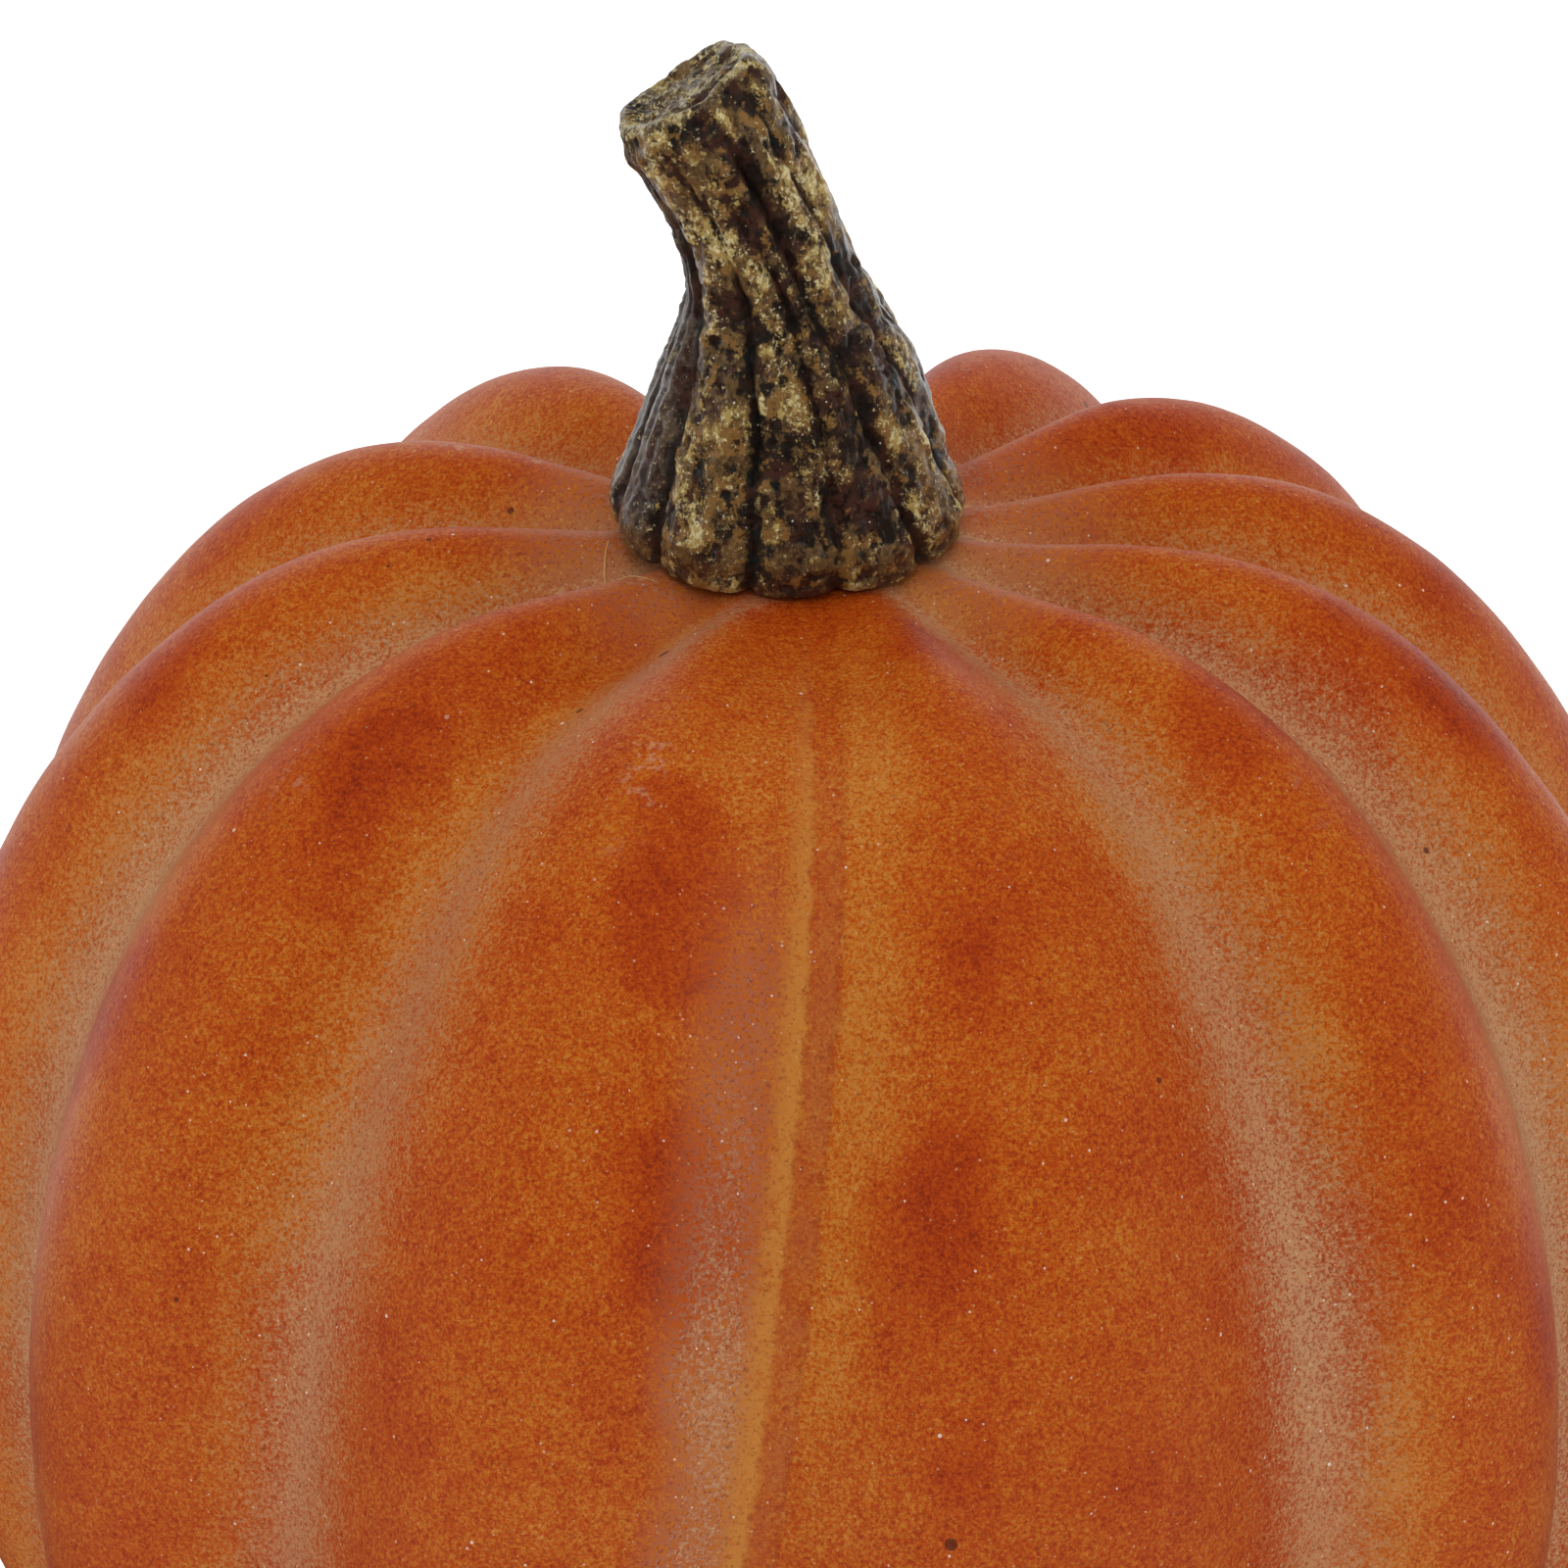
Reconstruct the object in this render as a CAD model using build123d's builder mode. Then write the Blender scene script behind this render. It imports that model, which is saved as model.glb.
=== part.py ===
"""Hollow pumpkin ornament: one lobed shell, a bent ribbed stem glued into its crown, and felt feet.

Millimetres. The origin is on the surface it stands on, under the shell's axis. +Z is up, -Y is the front.
Angles round the axis are in degrees from the front towards +X.
"""
import os
from math import cos, radians, sin

from build123d import *

os.makedirs("parts", exist_ok=True)

# ---- shell: heights are from its equator, radii from its axis, both along the ridge of a lobe -----
EQUATOR_RADIUS = 140.0
CREST_RADIUS = 53.5          # ring where the ridges are highest
CREST_HEIGHT = 118.7
SEAT_RADIUS = 14.5           # flat seat in the crown dimple, where the grooves run out
SEAT_HEIGHT = 116.8
BASE_RADIUS = 62.0           # ring where the lobes are lowest
BASE_DEPTH = 114.5           # before the foot is ground flat
GROUND_OFF = 2.5
DISH_RADIUS = 30.0           # flat middle of the hollowed base
DISH_RISE = 10.0
WALL = 6.0
SOCKET_RADIUS = 9.5          # hole in the crown for the stem's spigot
VENT_RADIUS = 10.0           # pour and vent hole in the base
AXIS_CLEAR = 6.0             # the wall's sections stop this far from the axis, inside both holes

# ---- grooves between the lobes: widths in degrees, the widest lobes on both sides of the front groove
FRONT_GROOVE = -1
FRONT_LOBE = 37
LEFT_LOBE = 31
OTHER_LOBE = 27
LOBES = [LEFT_LOBE] * 4 + [FRONT_LOBE] * 2 + [OTHER_LOBE] * 6
FIRST_GROOVE = FRONT_GROOVE - FRONT_LOBE - 4 * LEFT_LOBE
GROOVES = [FIRST_GROOVE + sum(LOBES[:count]) for count in range(len(LOBES))]
DEPTH_EQUATOR = 12.6
DEPTH_CREST = 10.2
DEPTH_BASE = 5.0
FLANK_POWER = 2.2            # roundness of a lobe's top
VALLEY_POWER = 2.5           # a higher number makes the bottom of a groove tighter
SPANS = [-1, -0.8, -0.55, -0.3, 0, 0.3, 0.55, 0.8, 1]

# ---- stem: its foot stands a little off the shell's axis, and it bows towards -X -------------------
FOOT_OFFSET = 3.5
BOND = 0.8                   # thickness of the glue bed under the foot
STATIONS = [
    # height, offset towards -X, radius, tilt in degrees
    (0.0, 0.0, 24.4, 0),
    (2.0, 0.0, 26.0, 0),
    (5.0, 0.1, 26.6, 0),
    (11.0, 0.0, 24.8, 0),
    (18.0, -0.1, 22.6, 0),
    (26.0, -0.2, 20.2, 2),
    (32.0, 0.7, 17.4, 5),
    (37.0, 1.7, 14.8, 9),
    (43.0, 2.8, 12.9, 15),
    (50.0, 5.0, 11.6, 21),
    (56.0, 7.8, 11.3, 26),
    (62.0, 10.8, 11.6, 29),
    (71.0, 15.4, 11.9, 31),
]
RIBS = 11
RIB_PHASE = -10.9            # where one valley between two ribs lies
RIB_DEPTH = 0.12             # share of the radius
RIB_TIGHTNESS = 4            # a higher number makes the valleys narrower
POINTS_PER_RIB = 4
SPIGOT_RADIUS = 9.0
SPIGOT_LENGTH = 11.0

# ---- felt feet, each under the middle of a lobe ----------------------------------------------------
PAD_THICKNESS = 2.0
PAD_RADIUS = 7.5
PAD_LOBES = [3, 6, 10, 0]    # each lobe starts at the groove of that index

BASE_Z = PAD_THICKNESS
EQUATOR_Z = BASE_Z + BASE_DEPTH - GROUND_OFF
SEAT_Z = EQUATOR_Z + SEAT_HEIGHT
STEM_Z = SEAT_Z + BOND


def lobe_limits(index):
    """The two grooves that a lobe lies between, in rising order."""
    start = GROOVES[index]
    end = GROOVES[(index + 1) % len(GROOVES)]
    return start, end if end > start else end + 360


def groove_share(u):
    """How much of a groove's depth applies at u, from none on a lobe's ridge at 0 to all of it at 1."""
    total = FLANK_POWER + VALLEY_POWER
    return (total * abs(u) ** FLANK_POWER - FLANK_POWER * abs(u) ** total) / VALLEY_POWER


def half_plane(angle):
    """The plane through the axis at an angle: its x is the radius, its y the height over the equator."""
    outward = Vector(sin(radians(angle)), -cos(radians(angle)), 0)
    return Plane(origin=(0, 0, EQUATOR_Z), x_dir=outward, z_dir=outward.cross(Vector(0, 0, 1)))


def outline(share, inset):
    """One face of the wall, from the vent round the equator to the socket, as a chain of curves."""
    reach = EQUATOR_RADIUS - DEPTH_EQUATOR * share - inset
    low = BASE_DEPTH - DEPTH_BASE * share - inset
    high = CREST_HEIGHT - DEPTH_CREST * share - inset
    dish = inset + DISH_RISE - BASE_DEPTH
    seat = SEAT_HEIGHT - inset
    Line((AXIS_CLEAR, dish), (DISH_RADIUS, dish))
    Spline((DISH_RADIUS, dish), (BASE_RADIUS, -low), tangents=[(1, 0), (1, 0)])
    EllipticalCenterArc((BASE_RADIUS, 0), reach - BASE_RADIUS, low, start_angle=-90, arc_size=90)
    EllipticalCenterArc((CREST_RADIUS, 0), reach - CREST_RADIUS, high, start_angle=0, arc_size=90)
    Spline((CREST_RADIUS, high), (SEAT_RADIUS, seat), tangents=[(-1, 0), (-1, 0)])
    Line((SEAT_RADIUS, seat), (AXIS_CLEAR, seat))
    return dish, seat


def wall_section(plane, share):
    """The wall's closed section on a half plane."""
    with BuildSketch(plane) as section:
        with BuildLine():
            outer_dish, outer_seat = outline(share, 0)
            inner_dish, inner_seat = outline(share, WALL)
            Line((AXIS_CLEAR, outer_dish), (AXIS_CLEAR, inner_dish))
            Line((AXIS_CLEAR, outer_seat), (AXIS_CLEAR, inner_seat))
        make_face()
    return section.sketch


def ribbed_section(height, offset, radius, tilt):
    """The stem's ribbed outline at a station, square to its bent centre line."""
    lean = radians(tilt)
    plane = Plane(
        origin=(-FOOT_OFFSET - offset, 0, STEM_Z + height),
        x_dir=(cos(lean), 0, sin(lean)),
        z_dir=(-sin(lean), 0, cos(lean)),
    )
    points = []
    for step in range(RIBS * POINTS_PER_RIB):
        angle = RIB_PHASE + step * 360 / (RIBS * POINTS_PER_RIB)
        valley = abs(cos(radians(RIBS * (angle - RIB_PHASE) / 2))) ** RIB_TIGHTNESS
        reach = radius * (1 - RIB_DEPTH * valley)
        points.append((reach * sin(radians(angle)), -reach * cos(radians(angle))))
    with BuildSketch(plane) as section:
        with BuildLine():
            Spline(*points, periodic=True)
        make_face()
    return section.sketch


# ---- shell: one casting, each lobe lofted from groove to groove ------------------------------------
with BuildPart() as body_shell:
    for lobe in range(len(GROOVES)):
        start, end = lobe_limits(lobe)
        sections = []
        for u in SPANS:
            angle = (start + end) / 2 + u * (end - start) / 2
            sections.append(wall_section(half_plane(angle), groove_share(u)))
        loft(sections)
    split(bisect_by=Plane.XY.offset(BASE_Z), keep=Keep.TOP)
    with BuildSketch(Plane.XY.offset(SEAT_Z - 2 * WALL)):
        Circle(SOCKET_RADIUS)
    extrude(amount=3 * WALL, mode=Mode.SUBTRACT)
    with BuildSketch(Plane.XY.offset(BASE_Z)):
        Circle(VENT_RADIUS)
    extrude(amount=DISH_RISE + 2 * WALL, mode=Mode.SUBTRACT)
body_shell.part.label = "body_shell"
export_step(body_shell.part, "parts/body_shell.step")

# ---- stem: a solid casting, with a plain spigot under its ribbed foot ------------------------------
with BuildPart() as stem:
    loft([ribbed_section(*station) for station in STATIONS])
    with BuildSketch(Plane.XY.offset(STEM_Z)):
        Circle(SPIGOT_RADIUS)
    extrude(amount=-SPIGOT_LENGTH)
stem.part.label = "stem"
export_step(stem.part, "parts/stem.step")

# ---- glue: a bed on the seat under the foot, and a sleeve round the spigot -------------------------
with BuildPart() as stem_adhesive:
    with BuildSketch(Plane.XY.offset(SEAT_Z)):
        Circle(SEAT_RADIUS)
    extrude(amount=BOND)
    with BuildSketch(Plane.XY.offset(SEAT_Z)):
        Circle(SOCKET_RADIUS)
    extrude(amount=-WALL)
    with BuildSketch(Plane.XY.offset(SEAT_Z - WALL)):
        Circle(SPIGOT_RADIUS)
    extrude(amount=WALL + BOND, mode=Mode.SUBTRACT)
stem_adhesive.part.label = "stem_adhesive"
export_step(stem_adhesive.part, "parts/stem_adhesive.step")

# ---- felt feet on the ground flats of four lobes ---------------------------------------------------
for number, lobe in enumerate(PAD_LOBES, start=1):
    middle = radians(sum(lobe_limits(lobe)) / 2)
    with BuildPart() as foot_pad:
        with BuildSketch(Plane.XY):
            with Locations((BASE_RADIUS * sin(middle), -BASE_RADIUS * cos(middle))):
                Circle(PAD_RADIUS)
        extrude(amount=PAD_THICKNESS)
    foot_pad.part.label = f"foot_pad_{number}"
    export_step(foot_pad.part, f"parts/foot_pad_{number}.step")
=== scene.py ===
"""Painted pumpkin ornament with a ribbed stem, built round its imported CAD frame. Metres.

The origin is on the floor under the shell's axis, +Z is up and -Y is the front.
Angles round the axis are in degrees from the front towards +X.
"""
import math

import bpy
import numpy as np
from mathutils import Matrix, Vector


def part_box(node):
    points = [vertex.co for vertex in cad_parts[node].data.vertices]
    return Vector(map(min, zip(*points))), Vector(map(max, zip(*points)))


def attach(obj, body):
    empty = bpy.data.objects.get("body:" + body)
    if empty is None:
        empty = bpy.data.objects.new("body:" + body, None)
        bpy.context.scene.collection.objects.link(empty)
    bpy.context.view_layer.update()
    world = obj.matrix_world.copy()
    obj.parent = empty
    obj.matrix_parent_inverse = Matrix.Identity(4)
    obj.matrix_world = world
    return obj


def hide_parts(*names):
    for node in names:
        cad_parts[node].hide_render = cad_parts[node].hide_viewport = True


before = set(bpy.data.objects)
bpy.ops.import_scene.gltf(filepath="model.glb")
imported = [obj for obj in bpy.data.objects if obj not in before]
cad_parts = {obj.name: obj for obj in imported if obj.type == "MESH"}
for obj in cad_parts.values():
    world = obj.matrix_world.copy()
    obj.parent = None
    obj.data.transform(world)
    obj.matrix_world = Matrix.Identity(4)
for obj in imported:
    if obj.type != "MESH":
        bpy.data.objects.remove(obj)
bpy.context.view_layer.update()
MM = 0.001

# ---- shell: heights are from its equator, radii from its axis, both along the ridge of a lobe -----
EQUATOR_RADIUS = 140.0 * MM
CREST_RADIUS = 53.5 * MM
CREST_HEIGHT = 118.7 * MM
SEAT_RADIUS = 14.5 * MM
SEAT_HEIGHT = 116.8 * MM
BASE_RADIUS = 62.0 * MM
BASE_DEPTH = 114.5 * MM
GROUND_OFF = 2.5 * MM
DISH_RADIUS = 30.0 * MM
DISH_RISE = 10.0 * MM
WALL = 6.0 * MM
SOCKET_RADIUS = 9.5 * MM
VENT_RADIUS = 10.0 * MM

# the lobes' widths in degrees, the widest on both sides of the front groove
FRONT_ANGLE = -1
FRONT_LOBE = 37
LEFT_LOBE = 31
OTHER_LOBE = 27
LOBES = [LEFT_LOBE] * 4 + [FRONT_LOBE] * 2 + [OTHER_LOBE] * 6
FIRST_GROOVE = FRONT_ANGLE - FRONT_LOBE - 4 * LEFT_LOBE
GROOVES = [FIRST_GROOVE + sum(LOBES[:count]) for count in range(len(LOBES))]
LEFT_GROOVE, FRONT_GROOVE, RIGHT_GROOVE, BACK_GROOVE = 4, 5, 6, 11      # their places in the list
FRONT_LEAN = 6               # how far the front groove swings towards the crown, in degrees
# how much of a groove's depth is missing at the crown
SHALLOW = {LEFT_GROOVE: 0.25, FRONT_GROOVE: 0.62, RIGHT_GROOVE: 0.30}
# how bare the paint is worn in the grooves that differ from the rest
BARE = 0.95
BARENESS = {LEFT_GROOVE: 0.80, RIGHT_GROOVE: 1.12}
DEPTH_EQUATOR = 12.6 * MM
DEPTH_CREST = 10.2 * MM
DEPTH_BASE = 5.0 * MM
FLANK_POWER = 2.2
VALLEY_POWER = 2.5
LOBE_COLUMNS = 40
COLUMN_POWER = 1.15          # a higher number crowds a lobe's columns towards its grooves
LOWEST_CLIMB = -0.25         # the front groove's lean stops growing here, a little below the equator
SHALLOW_REACH = (16, 4)      # degrees from a groove where its missing depth starts, and is complete

BASE_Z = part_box("body_shell")[0].z
EQUATOR_Z = BASE_Z + BASE_DEPTH - GROUND_OFF
SEAT_Z = EQUATOR_Z + SEAT_HEIGHT

# ---- stem ------------------------------------------------------------------------------------------
FOOT_OFFSET = 3.5 * MM
BOND = 0.8 * MM
STEM_Z = SEAT_Z + BOND
# height, offset towards -X and radius in millimetres, and tilt in degrees
STATIONS = np.array([
    (0.0, 0.0, 24.4, 0),
    (2.0, 0.0, 26.0, 0),
    (5.0, 0.1, 26.6, 0),
    (11.0, 0.0, 24.8, 0),
    (18.0, -0.1, 22.6, 0),
    (26.0, -0.2, 20.2, 2),
    (32.0, 0.7, 17.4, 5),
    (37.0, 1.7, 14.8, 9),
    (43.0, 2.8, 12.9, 15),
    (50.0, 5.0, 11.6, 21),
    (56.0, 7.8, 11.3, 26),
    (62.0, 10.8, 11.6, 29),
    (71.0, 15.4, 11.9, 31),
])
# each furrow between two ribs: its angle at the foot, waist and end, then its strength at each
FURROWS = np.array([
    (-112, -118, -124, 0.8, 0.7, 0.5),
    (-82, -88, -96, 0.9, 0.7, 0.4),
    (-50, -58, -66, 1.0, 1.0, 0.8),
    (-12, -17, -27, 1.0, 1.1, 1.0),
    (19, 12, 3, 1.1, 0.9, 0.0),
    (52, 27, 18, 0.9, 1.0, 1.1),
    (86, 62, 50, 0.9, 0.8, 0.6),
    (121, 103, 92, 1.0, 0.9, 0.8),
    (150, 138, 128, 0.9, 0.8, 0.6),
    (184, 172, 164, 1.0, 1.0, 0.8),
    (217, 205, 198, 0.9, 0.8, 0.6),
])
STEM_ROWS = 262
STEM_COLUMNS = 288
EASING = 15                  # rows on either side that each row of the outline is smoothed over
FINE_RIBS = 52
# the spigot, the rotten hole off the middle of the cut end, and the glue, in millimetres
SPIGOT_RADIUS = 9
SPIGOT_LENGTH = 11
HOLE_PLACE = np.array([2.2, -4.6, 1.0])
HOLE_RADIUS = 2.6
HOLE_DEPTH = 2.4
CAP_RINGS = 22
SLEEVE_INSIDE = 9.05
SLEEVE_OUTSIDE = 9.45
SLEEVE_LENGTH = 6.0
BED_RADIUS = 19.6
# the squeezed-out bed: share of the way from the socket to its edge, and height
BED_PROFILE = ((0.55, -0.05), (0.8, -0.3), (0.96, -0.2), (1.0, 0.3), (0.96, 0.9), (0.8, 1.0), (0.55, 0.85))
# a felt pad's edge: share of its radius, and share of its thickness
PAD_PROFILE = (
    (0.02, 0), (0.5, 0), (0.9, 0), (0.98, 0.15), (1.0, 0.5), (1.0, 0.8), (0.98, 1), (0.5, 1), (0.02, 1),
)

# ---- thread of glue drawn out beside the stem's foot ------------------------------------------------
THREAD_FROM = -80            # degrees round the foot
THREAD_TO = -45
THREAD_GAP = 1.0             # millimetres outside the foot, then how much further it bows
THREAD_BOW = 2.5
THREAD_WIDTH = 0.14
THREAD_STEPS = 40

# ---- paints: red, green and blue in linear light --------------------------------------------------
AIRBRUSH = [
    # how dark the spray is, then its colour
    (0.00, (0.480, 0.175, 0.027)),
    (0.20, (0.452, 0.128, 0.009)),
    (0.38, (0.422, 0.083, 0.003)),
    (0.54, (0.388, 0.056, 0.0008)),
    (0.74, (0.325, 0.032, 0.0003)),
    (1.00, (0.190, 0.014, 0.0003)),
]
CLAY = [(0.3, (0.42, 0.36, 0.29)), (0.7, (0.58, 0.51, 0.42))]
OLIVE = [(0.40, (0.100, 0.050, 0.014)), (0.60, (0.205, 0.118, 0.034))]
TAN = (0.445, 0.228, 0.108)
PLUM = (0.262, 0.076, 0.054)
SEAM_RUB = (0.372, 0.106, 0.028)
SEAM_EDGE = (0.250, 0.040, 0.006)
SEAM_STRIPE = (0.485, 0.190, 0.032)
DARK_SPECK = (0.180, 0.022, 0.004)
PALE_SPECK = (0.620, 0.340, 0.140)
DUST = (0.74, 0.60, 0.50)
FRECKLE = (0.060, 0.012, 0.006)
CHIP = (0.66, 0.42, 0.22)
UMBER = (0.020, 0.014, 0.010)
MAROON = (0.064, 0.023, 0.013)
GREEN_BLACK = (0.012, 0.018, 0.016)
OCHRE_WASH = (0.290, 0.142, 0.027)
GOLD = (0.480, 0.330, 0.085)
PALE_GOLD = (0.760, 0.660, 0.350)
PIT_BLACK = (0.014, 0.008, 0.006)
CREASE_SHADE = (0.008, 0.006, 0.005)
LEFT_SHEEN_BROWN = (0.095, 0.080, 0.066)
PAINTED_GLINT = (0.85, 0.80, 0.64)

# ---- noise -------------------------------------------------------------------------------------------
# multipliers that scatter a cell's place and a seed into a number of 32 bits
PRIMES = np.array([374761393, 668265263, 1274126177])
SEED_STEP = 974711
WORD = 0xFFFFFFFF


# ---- numbers --------------------------------------------------------------------------------------
def lattice(points, size, seed):
    """Smooth value noise from -1 to 1 at points, with bumps about size across."""
    q = points / size
    cell = np.floor(q).astype(np.int64)
    f = q - cell
    f = f * f * f * (f * (f * 6 - 15) + 10)
    total = np.zeros(q.shape[:-1])
    for corner in range(8):
        step = np.array([corner & 1, corner >> 1 & 1, corner >> 2 & 1])
        h = ((cell + step) @ PRIMES + seed * SEED_STEP) & WORD
        h = ((h ^ (h >> 13)) * PRIMES[2]) & WORD
        h = ((h ^ (h >> 16)) * PRIMES[1]) & WORD
        weight = np.prod(np.where(step == 1, f, 1 - f), axis=-1)
        total += weight * ((h ^ (h >> 15)) & 0xFFFF) / 32767.5
    return total - 1


def layers(points, *bumps):
    """Noise summed from layers, each given as its strength, size and seed."""
    return sum(strength * lattice(points, size, seed) for strength, size, seed in bumps)


def smooth(low, high, x):
    """0 below low, 1 above high, and a smooth rise between; low may be the larger."""
    t = np.clip((x - low) / (high - low), 0, 1)
    return t * t * (3 - 2 * t)


def turn_between(a, b):
    """The signed turn from b to a, in degrees, the short way round."""
    return (a - b + 180) % 360 - 180


def patches(points, size, seed):
    """Scattered soft patches about size across: 1 in their middles and 0 between them."""
    return smooth(0.15, 0.60, lattice(points, size, seed))


def groove_share(u):
    """How much of the groove's depth applies at u, from 0 on a lobe's ridge to 1 in a groove."""
    total = FLANK_POWER + VALLEY_POWER
    return (total * np.abs(u) ** FLANK_POWER - FLANK_POWER * np.abs(u) ** total) / VALLEY_POWER


def grid_mesh(name, points, wrap_rows):
    """A mesh from a grid of points, closed round its columns and, if asked, round its rows."""
    rows, columns = points.shape[:2]
    index = np.arange(rows * columns).reshape(rows, columns)
    nearer = index if wrap_rows else index[:-1]
    further = np.roll(index, -1, axis=0) if wrap_rows else index[1:]
    faces = np.stack([nearer, np.roll(nearer, -1, axis=1), np.roll(further, -1, axis=1), further], axis=-1)
    mesh = bpy.data.meshes.new(name)
    mesh.from_pydata(points.reshape(-1, 3).tolist(), [], faces.reshape(-1, 4).tolist())
    mesh.polygons.foreach_set("use_smooth", [True] * len(mesh.polygons))
    piece = bpy.data.objects.new(name, mesh)
    bpy.context.scene.collection.objects.link(piece)
    return piece


def store(piece, **numbers):
    """Keeps numbers per vertex for the piece's material, each under its own name."""
    for name, values in numbers.items():
        layer = piece.data.attributes.new(name, "FLOAT", "POINT")
        layer.data.foreach_set("value", np.ascontiguousarray(values, np.float32).ravel())


# ---- shell ----------------------------------------------------------------------------------------
def meridian(share, rise, part, inset):
    """Radius and height of one stretch of the wall's outline, for arrays of share and of 0 to 1 along it."""
    reach = EQUATOR_RADIUS - DEPTH_EQUATOR * share - inset
    low = BASE_DEPTH - DEPTH_BASE * share - inset
    high = CREST_HEIGHT - DEPTH_CREST * share - inset
    dish = inset + DISH_RISE - BASE_DEPTH
    seat = SEAT_HEIGHT - inset
    ease = rise * rise * (3 - 2 * rise)
    turn = math.pi / 2 * rise
    if part == "dish_flat":
        return VENT_RADIUS + (DISH_RADIUS - VENT_RADIUS) * rise, dish
    if part == "dish":
        return DISH_RADIUS + (BASE_RADIUS - DISH_RADIUS) * rise, dish + (-low - dish) * ease
    if part == "lower":
        return BASE_RADIUS + (reach - BASE_RADIUS) * np.sin(turn), -low * np.cos(turn)
    if part == "upper":
        return CREST_RADIUS + (reach - CREST_RADIUS) * np.cos(turn), high * np.sin(turn)
    if part == "crown":
        return CREST_RADIUS + (SEAT_RADIUS - CREST_RADIUS) * rise, high + (seat - high) * ease
    return SEAT_RADIUS + (SOCKET_RADIUS - SEAT_RADIUS) * rise, seat


def climb_along(part, rise):
    """How far up towards the crown one stretch is: 0 at the equator and 1 on the crest."""
    if part == "upper":
        return np.sin(math.pi / 2 * rise)
    if part in ("crown", "seat"):
        return np.ones_like(rise)
    if part == "lower":
        return np.maximum(-np.cos(math.pi / 2 * rise), LOWEST_CLIMB)
    return LOWEST_CLIMB * np.ones_like(rise)


STRETCHES = [
    # stretch of the outline, then its rows on the outside and on the inside
    ("dish_flat", 4, 2),
    ("dish", 20, 5),
    ("lower", 46, 9),
    ("upper", 74, 11),
    ("crown", 26, 5),
    ("seat", 4, 2),
]


def shell_grid():
    """The skin's radius, height, angle, share of groove and 1 for inside, by row and by column."""
    u = np.linspace(-1, 1, LOBE_COLUMNS, endpoint=False)
    u = np.tile(np.sign(u) * (1 - (1 - np.abs(u)) ** COLUMN_POWER), len(GROOVES))
    lobe = np.repeat(np.arange(len(GROOVES)), LOBE_COLUMNS)
    share = groove_share(u)[None]
    start = np.array(GROOVES, float)[lobe]
    following = (lobe + 1) % len(GROOVES)
    end = np.array(GROOVES, float)[following]
    end = np.where(end < start, end + 360, end)
    lean_start = FRONT_LEAN * (lobe == FRONT_GROOVE)
    lean_end = FRONT_LEAN * (following == FRONT_GROOVE)
    middle = (start + end) / 2 + u * (end - start) / 2
    shallow = sum(
        depth * smooth(*SHALLOW_REACH, np.abs(middle - GROOVES[groove]))
        for groove, depth in SHALLOW.items()
    )
    rows = []
    for inset, backwards in ((0.0, False), (WALL, True)):
        for part, outer_steps, inner_steps in STRETCHES[::-1] if backwards else STRETCHES:
            steps = inner_steps if backwards else outer_steps
            rise = np.arange(steps)[:, None] / steps
            if backwards:
                rise = 1 - rise
            climb = climb_along(part, rise)
            radius, height = meridian(share * (1 - shallow * smooth(0.70, 1.0, climb)), rise, part, inset)
            left = start + lean_start * (climb - 0.5)
            right = end + lean_end * (climb - 0.5)
            angle = np.radians((left + right) / 2 + u * (right - left) / 2)
            row = np.broadcast_arrays(radius, height, angle, share, float(backwards))
            rows.append(np.stack(row, axis=-1))
    return np.moveaxis(np.concatenate(rows), -1, 0)


def off_groove(angle, radius, groove):
    """How far round the shell each point lies from a groove's line, in metres."""
    line = angle[:, groove * LOBE_COLUMNS][:, None]
    return ((angle - line + math.pi) % (2 * math.pi) - math.pi) * radius


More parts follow.
